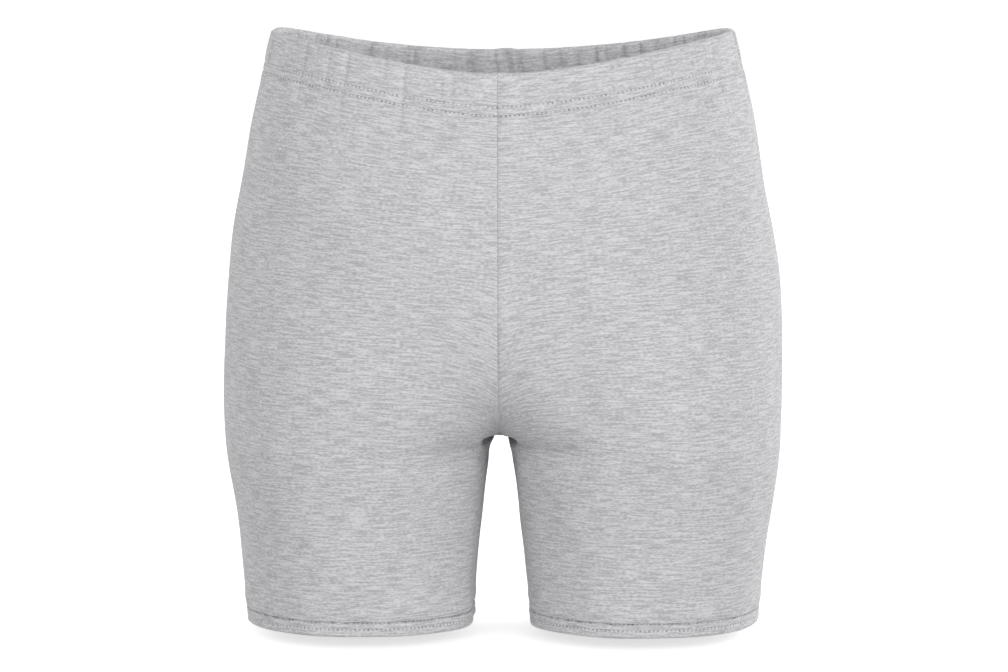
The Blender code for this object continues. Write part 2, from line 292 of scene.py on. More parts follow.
casing_face = steps_near(CASING_THICKNESS / 2, PANEL_TOP, 0.0023, WAIST_ROWS)[:-1]
casing_inside = steps_near(CASING_THICKNESS / 2, CASING_TURN_IN, 0.0027, WAIST_ROWS)
side_top = PANEL_TOP - SIDE_RISE
for depth in casing_face[::-1]:
    rows.append(("casing", depth, 0.0, side_top - PANEL_TOP + depth))
for turn in np.linspace(0.0, math.pi, FOLD_POINTS)[1:-1]:
    radius = CASING_THICKNESS / 2
    inward = radius * (1 - math.cos(turn))
    rows.append(("casing", radius * (1 - math.sin(turn)), inward, radius - SIDE_RISE - turn * radius))
fold_end = CASING_THICKNESS / 2 - SIDE_RISE - math.pi * CASING_THICKNESS / 2
for depth in casing_inside:
    rows.append(("casing", depth, CASING_THICKNESS, fold_end - (depth - CASING_THICKNESS / 2)))

angles = []
drops = []
for kind, level, inward, way in rows:
    if kind == "leg":
        angle, drop = course(level, column_shares)
    elif kind == "casing":
        angle, drop = waist_course(level, column_shares)
    else:
        last_angle = math.pi - SEAM_GAP / 2 / LEG_AXIS[0]
        sweep = np.linspace(-last_angle, last_angle, 2 * CURVE_SAMPLES + 1)
        angle = even_steps(sweep, np.full_like(sweep, HEM_DROP), column_shares)[0]
        drop = np.full_like(angle, HEM_DROP - level)
    angles.append(angle)
    drops.append(drop)
angles = np.array(angles)
drops = np.array(drops)
kinds = np.array([row[0] for row in rows])
levels = np.array([row[1] for row in rows])
inwards = np.array([row[2] for row in rows])
ways = np.array([row[3] for row in rows])
faces = face_point(angles, drops)
normals = face_normal(angles, drops)
steps = np.linalg.norm(np.diff(faces, axis=1), axis=2)
along = np.concatenate([np.zeros((len(rows), 1)), np.cumsum(steps, axis=1)], axis=1)
side_column = int(np.argmin(np.abs(column_shares - 0.5)))
from_side = along - along[:, [side_column]]
from_front = along
from_back = along[:, [-1]] - along
from_seam = np.minimum(from_front, from_back)

# How the filled-out form hangs to one side beside the centre line
HANG_REACH = 0.045
HANG = (
    # drop, shift
    (-0.010, -0.0012),
    (0.040, -0.0008),
    (0.150, -0.0005),
    (0.235, -0.0006),
    (0.251, -0.0010),
    (0.260, -0.0024),
    (0.275, -0.0020),
    (0.300, -0.0016),
    (0.372, -0.0009),
)

# At the back the waist edge lies a little higher than the solid's, more so on the wearer's left, and the
# seam of the turned-in layer slants to the wearer's left
BACK_LIFTS = {
    # distance from the centre, lift
    "left": ((0.000, 0.0008), (0.060, 0.0016), (0.085, 0.0014), (0.113, 0.0010), (0.148, 0.0)),
    "right": ((0.000, 0.0008), (0.060, 0.0008), (0.085, 0.0007), (0.113, 0.0006), (0.148, 0.0)),
}
LIFT_START = 0.020
LIFT_FADE = 0.030
INSIDE_SLANT = 0.0045
SLANT_REACH = 0.030
SLANT_INWARD = 0.003

# The courses of the knit follow the waist edge at the top and lie level on the legs. Beside the crotch the
# seam draws them down towards the centre, which shows as a V in the melange
COURSE_DIP = 0.0150
DIP_REACH = 0.0240
DIP_SHARES = (
    # drop, share
    (0.105, 0.0),
    (0.215, 1.0),
    (0.250, 1.0),
    (0.292, 0.0),
)
LEVEL_POWER = 1.8
waist_levels = waist_drop(angles) + PANEL_TOP
dip = COURSE_DIP * np.interp(drops, *zip(*DIP_SHARES)) * np.exp(-from_seam / DIP_REACH)
lifted = drops - dip
rise_share = np.clip((lifted - waist_levels) / (CROTCH_DROP - waist_levels), 0.0, 1.0)
knit_drop = lifted - (waist_levels - side_top) * (1 - rise_share) ** LEVEL_POWER
wale = np.where((kinds == "leg")[:, None], knit_drop, ways[:, None] + np.zeros_like(drops))

# The gathers' relief on the face and on the inside. They swell between creases, are held down by the
# stitches and fade out below them. The elastic in the casing leaves its two layers little room to sink
FACE_GATHER = 0.0024
INSIDE_GATHER = 0.0043
FACE_MEAN = 0.4
INSIDE_MEAN = 0.15
FACE_CONTRAST = 2.0
INSIDE_CONTRAST = 0.7
GATHER_PHASES = {"left": 0.4, "right": 1.9}
SWELLS = (0.62, 0.38, 1.7)
CREASES = (0.60, 0.40, 2.1)
CREASE_SHARE = 0.10
CREASE_WEIGHT = 0.7
GATHER_REACH = (0.005, 0.022, 2.9)
GATHER_SEAM_FADE = 0.006
CASING_STEADY = 0.4
ELASTIC_CLEAR = 0.00055
EDGE_SCALLOP = 0.0004
FACE_BAND = (
    # depth below the waist edge, share of the gather
    (0.0, 0.4),
    (0.004, 0.75),
    (0.012, 1.0),
    (0.0195, 0.7),
    (0.021, 0.4),
    (0.0225, 0.5),
    (0.024, 0.5),
    (0.0265, 0.35),
)
INSIDE_BAND = (
    # depth below the waist edge, share of the gather
    (0.0, 0.6),
    (0.003, 0.9),
    (0.012, 1.0),
    (0.021, 0.5),
    (0.0265, 0.35),
    (0.0285, 0.6),
)
INSIDE_PINCH = (
    # depth below the waist edge, how far the stitches hold the turned-in layer out
    (0.0215, 0.0),
    (0.0265, 0.0015),
    (0.0275, 0.0014),
    (0.0285, 0.0012),
)
LONG_FADE = 0.60
LONG_FADE_START = 0.003
SHORT_FADE = 0.35
SHORT_FADE_REACH = 0.004

# Drag folds from the crotch to the hip, the break below the seat, and small sharp folds beside the crotch.
# Angles in degrees round the leg from its outer side, negative to the front, and drops in metres
FOLDS = (
    # from angle, from drop, to angle, to drop, half width, height
    (-134, 0.232, -94, 0.180, 0.016, -0.0012),
    (-126, 0.252, -84, 0.226, 0.016, -0.0010),
    (132, 0.236, 94, 0.204, 0.018, -0.0015),
    (128, 0.272, 70, 0.278, 0.018, -0.0016),
    (126, 0.206, 100, 0.160, 0.018, -0.0010),
)
SIDE_FOLDS = {
    "left": (
        (-150, 0.246, -118, 0.214, 0.006, -0.0007),
        (-146, 0.262, -104, 0.246, 0.008, -0.0008),
        (-118, 0.176, -70, 0.140, 0.012, -0.0005),
        (-100, 0.300, -30, 0.316, 0.014, -0.0004),
        (144, 0.258, 92, 0.246, 0.008, -0.0010),
        (138, 0.300, 84, 0.292, 0.010, -0.0007),
        (60, 0.120, 110, 0.150, 0.012, -0.0005),
    ),
    "right": (
        (-152, 0.240, -112, 0.222, 0.007, -0.0007),
        (-148, 0.266, -100, 0.256, 0.007, -0.0006),
        (-124, 0.198, -80, 0.150, 0.011, -0.0006),
        (-90, 0.322, -24, 0.310, 0.012, -0.0004),
        (146, 0.262, 98, 0.238, 0.009, -0.0011),
        (134, 0.290, 76, 0.300, 0.011, -0.0008),
        (52, 0.132, 104, 0.142, 0.013, -0.0005),
    ),
}
FOLD_RADIUS = 0.095
FOLD_SEAM_FADE = 0.012

# The cloth is a little uneven all over: long shallow waves across and down the leg
WAVES = (
    # length round the leg, length down it, height, start
    (0.170, 0.120, 0.00045, 0.6),
    (0.092, -0.150, 0.00030, 2.1),
    (0.061, 0.074, 0.00018, 4.0),
    (0.043, -0.055, 0.00010, 1.2),
)
WAVE_STARTS = {"left": 1, "right": 3}

# The front of the thigh is fuller towards the inside than the solid, below the crotch
INNER_FULLNESS = 0.0034
FULL_ANGLE = -146
FULL_WIDTH = 14
FULLNESS_DROPS = (0.248, 0.266)

# The hem's fold is roped by its stitches, and the cloth swells a little just above them
ROPING = 0.00022
ROPE_TURN = 0.0031
ROPE_SWAY = 1.7
ROPE_SWAY_TURN = 0.021
ROPE_LEVEL = 0.0035
ROPE_WIDTH = 0.003
HEM_SWELL = 0.0005
HEM_SWELL_HEIGHT = 0.004

# The seams lie in a narrow valley that turns into a ridge towards the crotch, and the cloth stands up over
# the seam allowance on one side. At the crotch it hangs a little lower, with a pit on each side
VALLEY_DEPTHS = (
    # drop, depth
    (0.000, 0.00018),
    (0.030, 0.00034),
    (0.190, 0.00030),
    (0.226, -0.00030),
    (0.250, -0.00050),
    (0.262, 0.00030),
)
VALLEY_WIDTH = 0.0006
VALLEY_INSIDE = -0.6
ALLOWANCE = 0.0065
ALLOWANCE_RIDGE = 0.00045
RIDGE_START = 0.0012
RIDGE_START_SOFT = 0.0003
RIDGE_END_SOFT = 0.0006
SEAM_BULK = 0.0010
SEAM_BULK_WIDTH = 0.0055
CROTCH_BULK = (0.0009, 0.0018, 0.0030)
PIT_TAIL = 1.6
CROTCH_PITS = {
    # distance from the centre, drop, half width, half height, depth
    "left": ((0.0062, 0.2518, 0.0028, 0.0022, 0.0056), (0.0110, 0.2620, 0.0030, 0.0070, 0.0010)),
    "right": ((0.0070, 0.2508, 0.0034, 0.0022, 0.0062),),
}


def folds_at(angle, drop, table):
    """How far the folds of a table push the cloth out at each place."""
    total = np.zeros_like(angle)
    for from_angle, from_drop, to_angle, to_drop, half_width, height in table:
        start = np.array([math.radians(from_angle) * FOLD_RADIUS, from_drop])
        run = np.array([math.radians(to_angle) * FOLD_RADIUS, to_drop]) - start
        x, y = angle * FOLD_RADIUS - start[0], drop - start[1]
        part = (x * run[0] + y * run[1]) / (run @ run)
        aside = (x * run[1] - y * run[0]) / math.hypot(*run)
        taper = np.sin(math.pi * np.clip(part, 0, 1))
        total += height * taper * np.exp(-((aside / half_width) ** 2))
    return total


def gather_wave(shares, phase, contrast):
    """How far the gathers stand out along the waist, from 0 in a crease, and how far each reaches down."""
    place = np.interp(shares, gather_starts, np.arange(GATHERS + 1))
    which = np.clip(place.astype(int), 0, GATHERS - 1)
    nearest = np.rint(place)
    mean, sway, turn = SWELLS
    swell = (mean + sway * np.sin(turn * gather_numbers + 3 * phase)) ** contrast
    mean, sway, turn = CREASES
    crease = (mean + sway * np.sin(turn * nearest + 5 * phase)) ** contrast
    tops = swell[which] * (0.5 - 0.5 * np.cos(2 * math.pi * (place - which)))
    creased = 1 - crease * np.exp(-(((place - nearest) / CREASE_SHARE) ** 2))
    least, spread, turn = GATHER_REACH
    reach = least + spread * (0.5 + 0.5 * np.sin(turn * gather_numbers + phase)) ** 2
    wave = (1 - CREASE_WEIGHT) * tops + CREASE_WEIGHT * creased
    return wave, np.interp(place, gather_numbers + 0.5, reach)


def groove(distance):
    """The depth of a needle row's groove at a distance from it, as a share."""
    return np.exp(-((distance / GROOVE_WIDTH) ** 2))


def leg_skin(side):
    """The face side of one leg's cloth as a grid of points, with its folds, gathers, grooves and seams."""
    phase = GATHER_PHASES[side]
    clear_of_seam = np.clip(from_seam[-1] / GATHER_SEAM_FADE, 0, 1)
    wave = gather_wave(column_shares, phase, INSIDE_CONTRAST)[0] * clear_of_seam
    face_wave, reach = gather_wave(column_shares, phase, FACE_CONTRAST)
    face_wave = (face_wave - FACE_MEAN) * clear_of_seam
    is_leg = (kinds == "leg")[:, None]
    is_casing = (kinds == "casing")[:, None]
    is_hem = (kinds == "hem")[:, None]
    on_face = (inwards == 0.0)[:, None]
    turned = is_casing * (inwards / CASING_THICKNESS)[:, None]
    level = levels[:, None]

    # Folds and waves, weaker on the casing, and the full front of the thigh
    out = folds_at(angles, drops, FOLDS + SIDE_FOLDS[side])
    for round_leg, down_leg, height, start in WAVES:
        turn = 2 * math.pi * (from_side / round_leg + drops / down_leg)
        out = out + height * np.sin(turn + start * WAVE_STARTS[side])
    out = out * np.clip(from_seam / FOLD_SEAM_FADE, 0, 1) * np.where(is_casing, CASING_STEADY, 1.0)
    corner = np.exp(-(((np.degrees(angles) - FULL_ANGLE) / FULL_WIDTH) ** 2))
    out = out + INNER_FULLNESS * corner * np.interp(drops, FULLNESS_DROPS, (0.0, 1.0))

    # Gathers, on the face of the casing and below it, and on the turned-in layer
    below = np.maximum(drops - (waist_levels - PANEL_TOP) - WAIST_ROWS[1], 0.0)
    fade = LONG_FADE * np.exp(-below / reach) * (1 - np.exp(-below / LONG_FADE_START))
    fade = fade + SHORT_FADE * np.exp(-below / SHORT_FADE_REACH)
    band = np.interp(level, *zip(*FACE_BAND)) * (is_casing & on_face)
    out = out + FACE_GATHER * face_wave * np.where(is_leg, fade, band)
    out = out - INSIDE_GATHER * (wave - INSIDE_MEAN) * np.interp(level, *zip(*INSIDE_BAND)) * turned
    out = np.where(is_casing & on_face, np.maximum(out, -ELASTIC_CLEAR), out)
    out = np.where(turned > 0.9, np.minimum(out, ELASTIC_CLEAR), out)

    # Grooves of the needle rows, and the roped hem
    for place, depth in zip(WAIST_ROWS, WAIST_GROOVES):
        out = out - np.where(is_casing & on_face, depth * groove(level - place), 0.0)
    held = INSIDE_GROOVE * groove(level - WAIST_ROWS[0]) + np.interp(level, *zip(*INSIDE_PINCH))
    out = out + np.where(is_casing & ~on_face, held, 0.0)
    for place, depth in zip(HEM_ROWS, HEM_GROOVES):
        out = out - np.where(is_hem & on_face, depth * groove(level - place), 0.0)
        out = out + np.where(is_hem & ~on_face, HEM_INSIDE_SHARE * depth * groove(level - place), 0.0)
    rope = np.sin(from_side / ROPE_TURN + ROPE_SWAY * np.sin(from_side / ROPE_SWAY_TURN))
    rope = rope * np.exp(-(((level - ROPE_LEVEL) / ROPE_WIDTH) ** 2))
    out = out + np.where(is_hem & on_face, ROPING * rope, 0.0)
    above_hem = (HEM_DROP - drops - HEM_DEPTH - HEM_SWELL_HEIGHT) / HEM_SWELL_HEIGHT
    out = out + np.where(is_leg, HEM_SWELL * np.exp(-(above_hem**2)), 0.0)

    # The seam valley, with the allowance under the cloth towards the wearer's left above the crotch and
    # towards the back on the legs, and the pits beside the crotch
    valley = np.interp(drops, *zip(*VALLEY_DEPTHS)) * np.exp(-((from_seam / VALLEY_WIDTH) ** 2))
    ridge = ALLOWANCE_RIDGE / (1 + np.exp(-(from_seam - RIDGE_START) / RIDGE_START_SOFT))
    ridge = ridge / (1 + np.exp((from_seam - ALLOWANCE) / RIDGE_END_SOFT))
    carries = np.where(drops < CROTCH_DROP, side == "left", from_back < from_front)
    out = out - np.where(turned > 0.5, VALLEY_INSIDE * valley, valley - ridge * carries)
    for distance, drop, half_width, half_height, depth in CROTCH_PITS[side]:
        tail = np.where(drops > drop, PIT_TAIL, 1.0)
        spot = ((faces[..., 0] - distance) / half_width) ** 2 + ((drops - drop) / half_height / tail) ** 2
        out = out - depth * np.exp(-spot) * (faces[..., 1] < LEG_AXIS[1])

    # The folded top edge rises a little over each gather and over the seams, and the back is lifted
    on_fold = is_casing & (level <= CASING_THICKNESS / 2 + 1e-6)
    bulk = SEAM_BULK * np.exp(-((from_seam / SEAM_BULK_WIDTH) ** 2))
    lift = np.where(on_fold, EDGE_SCALLOP * (wave - FACE_MEAN) + bulk, 0.0)
    height, width, depth = CROTCH_BULK
    lift = lift - height * np.exp(-((from_seam / width) ** 2) - ((drops - CROTCH_DROP) / depth) ** 2)
    back_lift = np.interp(faces[..., 0], *zip(*BACK_LIFTS[side])) * np.clip(faces[..., 1] / LIFT_START, 0, 1)
    points = faces + normals * (out - inwards[:, None])[..., None]
    points[..., 2] += lift + back_lift * np.exp(-((below / LIFT_FADE) ** 2))

    # Both legs end on the centre plane where they are sewn to each other
    at_seam = ~((kinds == "leg") & (levels > 1) | (kinds == "hem"))
    points[at_seam, 0, 0] = SEAM_GAP / 2
    points[at_seam, -1, 0] = SEAM_GAP / 2
    points[..., 0] = np.maximum(points[..., 0], SEAM_GAP / 2)
    return points


def grid_mesh(name, points, thickness, flat=None):
    """A mesh object from a grid of points on its skin, with a wall that reaches in from it."""
    row_count, column_count = points.shape[:2]
    bpy.ops.mesh.primitive_grid_add(x_subdivisions=column_count - 1, y_subdivisions=row_count - 1)
    piece = bpy.context.object
    piece.name = name
    piece.data.name = name
    piece.data.vertices.foreach_set("co", points.reshape(-1).astype(np.float32))
    if flat is not None:
        corner = np.empty(len(piece.data.loops), dtype=np.int32)
        piece.data.loops.foreach_get("vertex_index", corner)
        layer = piece.data.uv_layers[0]
        layer.name = "cloth"
        layer.data.foreach_set("uv", flat.reshape(-1, 2)[corner].reshape(-1).astype(np.float32))
    piece.data.update()
    piece.data.shade_smooth()
    wall = piece.modifiers.new("wall", "SOLIDIFY")
    wall.thickness = thickness
    wall.offset = -1.0
    wall.use_even_offset = False
    return piece


def linear(code):
    """A colour given as an sRGB hex value, as linear numbers for a shader."""
    shares = [int(code[i : i + 2], 16) / 255 for i in (1, 3, 5)]
    return [c / 12.92 if c <= 0.04045 else ((c + 0.055) / 1.055) ** 2.4 for c in shares] + [1.0]


def node(tree, kind, settings=None, links=None):
    """A new node in a tree, with its settings and with links from other nodes' outputs."""
    made = tree.nodes.new(kind)
    for name, value in (settings or {}).items():
        if isinstance(name, str) and hasattr(made, name):
            setattr(made, name, value)
        else:
            made.inputs[name].default_value = value
    for name, source in (links or {}).items():
        tree.links.new(source, made.inputs[name])
    return made


# Single jersey knitted from melange yarn, a matt cotton blend. Each yarn holds dark and light fibres in
# unequal lots, so the eye sees short level streaks that wander a little. A real course is 0.6 mm high. The
# streaks are drawn one to two courses high, coarser than the fibres, so that they show
MELANGE = (
    # place on the scale of tones, colour: the dark, the light and the middle one
    (0.18, linear("#AAAAAC")),
    (0.84, linear("#CECED0")),
    (0.52, linear("#BFBFC1")),
)
WANDER_HEIGHT = 0.0013
SHORT_WEIGHT = 0.72
PATCH_WEIGHT = 0.14
TONE_RANGE = {"From Min": 0.62, "From Max": 1.24}
PATTERNS = (
    # name, where it is read, length and height in metres, detail, roughness
    ("wander", "cloth", (0.0450, 0.0140, 1.0), 1.0, 0.5),
    # how strong the painted shade is in each needle hole
    ("painted shade strength", "cloth", (0.0045, 0.0030, 1.0), 1.0, 0.5),
    ("courses", "cloth", (0.0020, 0.0006, 1.0), 2.0, 0.5),
    ("long streaks", "wandering cloth", (0.0140, 0.00115, 1.0), 2.0, 0.55),
    ("short streaks", "wandering cloth", (0.0026, 0.00085, 1.0), 1.0, 0.5),
    ("patches", "wandering cloth", (0.0320, 0.0150, 1.0), 2.0, 0.5),
)

jersey = bpy.data.materials.new("melange single jersey")
jersey.use_nodes = True
tree = jersey.node_tree
tree.nodes.clear()
surface = node(tree, "ShaderNodeOutputMaterial")
place = node(tree, "ShaderNodeUVMap", {"uv_map": "cloth"})
shifted = node(
    tree, "ShaderNodeVectorMath", {"operation": "MULTIPLY_ADD", 1: (0.0, WANDER_HEIGHT, 0.0)},
    {2: place.outputs[0]},
)
read_at = {"cloth": place.outputs[0], "wandering cloth": shifted.outputs[0]}
patterns = {}
for name, where, size, detail, roughness in PATTERNS:
    scaled = node(tree, "ShaderNodeVectorMath", {"operation": "DIVIDE", 1: size}, {0: read_at[where]})
    made = node(
        tree, "ShaderNodeTexNoise",
        {"noise_dimensions": "2D", "Scale": 1.0, "Detail": detail, "Roughness": roughness},
        {"Vector": scaled.outputs[0]},
    )
    patterns[name] = made.outputs["Fac"]
tree.links.new(patterns["wander"], shifted.inputs[0])
both = node(
    tree, "ShaderNodeMath", {"operation": "MULTIPLY_ADD", 1: SHORT_WEIGHT},
    {0: patterns["short streaks"], 2: patterns["long streaks"]},
)
all_three = node(
    tree, "ShaderNodeMath", {"operation": "MULTIPLY_ADD", 1: PATCH_WEIGHT},
    {0: patterns["patches"], 2: both.outputs[0]},
)
tone = node(tree, "ShaderNodeMapRange", TONE_RANGE, {"Value": all_three.outputs[0]})
colours = node(tree, "ShaderNodeValToRGB", None, {"Fac": tone.outputs[0]})
ramp = colours.color_ramp
for element, (at, colour) in zip(ramp.elements, MELANGE):
    element.position = at
    element.color = colour
ramp.elements.new(MELANGE[2][0]).color = MELANGE[2][1]

# The needles leave a row of small holes at each stitch, some deeper than others, and the cloth between them
# is drawn in. The dark in the holes and along the drawn-in line between them is painted shade, darker in some
# holes
PAINTED_SHADE_ROWS = (
    # place along the cloth, painted shade in the holes, painted shade along the line between them
    (WAIST_ROWS[0] - SIDE_RISE, 0.44, 0.04),
    (WAIST_ROWS[1] - SIDE_RISE, 0.42, 0.10),
    (HEM_DROP - HEM_ROWS[0], 0.18, 0.40),
    (HEM_DROP - HEM_ROWS[1], 0.46, 0.05),
)
PAINTED_SHADE_WIDTH = 0.0011
PAINTED_HOLE_WIDTH = 0.0010
# The colour of the painted shade in the needle holes and along their rows
PAINTED_HOLE_SHADE = linear("#3C3C40")
PAINTED_SHADE_STRENGTHS = {"From Min": 0.3, "From Max": 0.7, "To Min": 0.25, "To Max": 1.45}
FADE_OUT = {"interpolation_type": "SMOOTHSTEP", "From Min": 0.0, "To Min": 1.0, "To Max": 0.0}
parts = node(tree, "ShaderNodeSeparateXYZ", None, {0: place.outputs[0]})
pitch = node(tree, "ShaderNodeMath", {"operation": "PINGPONG", 1: STITCH / 2}, {0: parts.outputs["X"]})
hole = node(tree, "ShaderNodeMapRange", FADE_OUT | {"From Max": PAINTED_HOLE_WIDTH}, {"Value": pitch.outputs[0]})
# How strong the painted shade is in each hole
uneven = node(tree, "ShaderNodeMapRange", PAINTED_SHADE_STRENGTHS, {"Value": patterns["painted shade strength"]})
painted_shade = node(tree, "ShaderNodeValue")
painted_shade.outputs[0].default_value = 0.0
for level, hole_painted_shade, groove_painted_shade in PAINTED_SHADE_ROWS:
    off = node(tree, "ShaderNodeMath", {"operation": "ADD", 1: level}, {0: parts.outputs["Y"]})
    away = node(tree, "ShaderNodeMath", {"operation": "ABSOLUTE"}, {0: off.outputs[0]})
    line = node(tree, "ShaderNodeMapRange", FADE_OUT | {"From Max": PAINTED_SHADE_WIDTH}, {"Value": away.outputs[0]})
    row_painted_shade = node(
        tree, "ShaderNodeMath", {"operation": "MULTIPLY_ADD", 1: hole_painted_shade, 2: groove_painted_shade},
        {0: hole.outputs[0]},
    )
    painted_shade = node(
        tree, "ShaderNodeMath", {"operation": "MULTIPLY_ADD"},
        {0: line.outputs[0], 1: row_painted_shade.outputs[0], 2: painted_shade.outputs[0]},
    )
# The painted shade of all four needle rows, multiplied onto the melange colour
painted_shade_amount = node(tree, "ShaderNodeMath", {"operation": "MULTIPLY"}, {0: painted_shade.outputs[0], 1: uneven.outputs[0]})
with_painted_shade = node(
    tree, "ShaderNodeMix", {"data_type": "RGBA", "blend_type": "MULTIPLY", 7: PAINTED_HOLE_SHADE},
    {0: painted_shade_amount.outputs[0], 6: colours.outputs["Color"]},
)
relief = node(
    tree, "ShaderNodeBump", {"Strength": 0.35, "Distance": 0.0003}, {"Height": patterns["courses"]}
)
cloth = node(
    tree,
    "ShaderNodeBsdfPrincipled",
    {"Roughness": 0.95, "IOR": 1.46, "Specular IOR Level": 0.2, "Sheen Weight": 0.15, "Sheen Roughness": 0.55,
     "Sheen Tint": linear("#F4F4F6")},
    {"Base Color": with_painted_shade.outputs[2], "Normal": relief.outputs["Normal"]},
)
tree.links.new(cloth.outputs["BSDF"], surface.inputs["Surface"])

# Each side reads its own stretch of the cloth, a whole number of stitches on, so that the melange doesn't
# repeat across the seam
CLOTH_STARTS = {"left": 0.0, "right": 1700 * STITCH}
MIRROR = {"left": np.array([1.0, 1.0, 1.0]), "right": np.array([-1.0, 1.0, 1.0])}


def facing(grid, side):
    """A grid as its mesh needs it: the right side's columns are reversed, so that its skin faces out."""
    return grid if side == "left" else grid[:, ::-1]


def hang(points):
    """Moves the places beside the centre line as the form hangs."""
    shift = np.interp(-points[..., 2], *zip(*HANG))
    points[..., 0] += shift * np.exp(-((points[..., 0] / HANG_REACH) ** 2))
    turned_in = (kinds == "casing") & (inwards > SLANT_INWARD)
    slant = INSIDE_SLANT * np.where(turned_in, levels / CASING_TURN_IN, 0.0)
    points[..., 0] += slant[:, None] * np.exp(-((points[..., 0] / SLANT_REACH) ** 2)) * (points[..., 1] > 0)
    return points


skins = {}
for side in ("left", "right"):
    skins[side] = hang(leg_skin(side) * MIRROR[side])
    flat = np.stack([from_side + CLOTH_STARTS[side], -wale], axis=-1)
    leg = grid_mesh(f"leg_cloth_{side}", facing(skins[side], side), CLOTH, facing(flat, side))
    leg.data.materials.append(jersey)
    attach(leg, "root")
    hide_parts(f"leg_panel_{side}", f"waist_casing_{side}", f"hem_{side}")


# Seam allowances. The two legs are overlocked together down the centre seam, and each leg along its inseam,
# with 6.5 mm of both cloths left inside. They lie flat to the wearer's left above the crotch and to the
# back below it
def outward(points, side):
    """Unit normals of a grid on a leg's face side."""
    down = np.gradient(points, axis=0)
    round_leg = np.gradient(points, axis=1)
    normal = np.cross(round_leg, down) * (1 if side == "left" else -1)
    return normal / np.maximum(np.linalg.norm(normal, axis=-1, keepdims=True), 1e-12)


cloth_normals = {side: outward(skins[side], side) for side in skins}
along_rows = {}
for side in skins:
    steps = np.linalg.norm(np.diff(skins[side], axis=1), axis=2)
    along_rows[side] = np.concatenate([np.zeros((len(rows), 1)), np.cumsum(steps, axis=1)], axis=1)


def on_cloth(side, row, column, lift):
    """Points at fractional rows and columns of a leg's grid, moved out from its face side by a lift."""
    row, column, lift = np.broadcast_arrays(np.asarray(row, float), column, lift)
    r = np.clip(row.astype(int), 0, len(rows) - 2)
    c = np.clip(column.astype(int), 0, len(column_shares) - 2)
    u = (row - r)[..., None]
    v = (column - c)[..., None]

    def blend(grid):
        low = grid[r, c] * (1 - v) + grid[r, c + 1] * v
        high = grid[r + 1, c] * (1 - v) + grid[r + 1, c + 1] * v
        return low * (1 - u) + high * u

    return blend(skins[side]) + blend(cloth_normals[side]) * lift[..., None]


def row_of(kind, level, inside=False):
    """The fractional row of the grid that lies at a level on the face, or inside on the turned-in layer."""
    off_the_folds = (inwards == 0) | (inwards >= HEM_THICKNESS)
    chosen = np.where((kinds == kind) & ((inwards > 0) == inside) & off_the_folds)[0]
    order = chosen[np.argsort(levels[chosen])]
    return float(np.interp(level, levels[order], order))


def column_at(side, row, distance, from_end=False):
    """The fractional column at a distance from one of a row's two seams."""
    line = along_rows[side][int(round(row))]
    wanted = line[-1] - distance if from_end else distance
    return float(np.interp(wanted, line, np.arange(len(line))))


ALLOWANCE_LAYERS = 2 * CLOTH
ALLOWANCE_GAP = 0.00005
ALLOWANCE_TOP = -(CLOTH + ALLOWANCE_GAP)
ALLOWANCE_STEPS = (0.0003, 0.0018, 0.0034, 0.0050, 0.0061, 0.0065)
ALLOWANCE_END = 0.006
ALLOWANCE_MELANGE = (7.0, 9.0)
casing_edge_row = row_of("leg", ALLOWANCE_END)
crotch_row = row_of("leg", 1.0)
hem_edge_row = row_of("leg", 2 - ALLOWANCE_END)


def allowance(side, from_row, to_row, at_back):
    """A grid along a seam, on the wrong side of the cloth that the allowance lies on."""
    chosen = np.arange(math.ceil(from_row), math.floor(to_row) + 1)
    steps = ALLOWANCE_STEPS[::-1] if at_back else ALLOWANCE_STEPS
    columns = np.array([[column_at(side, r, d, at_back) for d in steps] for r in chosen])
    return on_cloth(side, chosen[:, None], columns, ALLOWANCE_TOP)


def joined(name, pieces):
    """Several objects as one, with the first one's modifiers."""
    bpy.ops.object.select_all(action="DESELECT")
    for piece in pieces:
        piece.select_set(True)
    bpy.context.view_layer.objects.active = pieces[0]
    bpy.ops.object.join()
    pieces[0].name = name
    pieces[0].data.name = name
    return pieces[0]


def strip(name, grid, side):
    """One allowance as an object, with the melange of another stretch of the cloth."""
    way = np.concatenate([[0.0], np.cumsum(np.linalg.norm(np.diff(grid[:, 0], axis=0), axis=1))])
    out = np.array(ALLOWANCE_STEPS)
    flat = np.stack(np.meshgrid(out + ALLOWANCE_MELANGE[0], ALLOWANCE_MELANGE[1] + way), axis=-1)
    made = grid_mesh(name, facing(grid, side), ALLOWANCE_LAYERS, facing(flat, side))
    made.data.materials.append(jersey)
    return made


rise_parts = [
    strip("rise_front", allowance("left", crotch_row, casing_edge_row, False), "left"),
    strip("rise_back", allowance("left", crotch_row, casing_edge_row, True), "left"),
]
seam_allowances = [joined("rise_seam_allowance", rise_parts)]
for side in ("left", "right"):
    grid = allowance(side, hem_edge_row, crotch_row, True)
    seam_allowances.append(strip(f"inseam_allowance_{side}", grid, side))
for piece in seam_allowances:
    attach(piece, "root")


# Sewing thread. Spun polyester in the grey of the cloth: two needle rows with a looper thread behind them
# hold the casing and each hem, and an overlock binds the raw edges of the seam allowances
THREAD = 0.00025
UPPER_THREAD = 0.00033
LOOPER = 0.00015

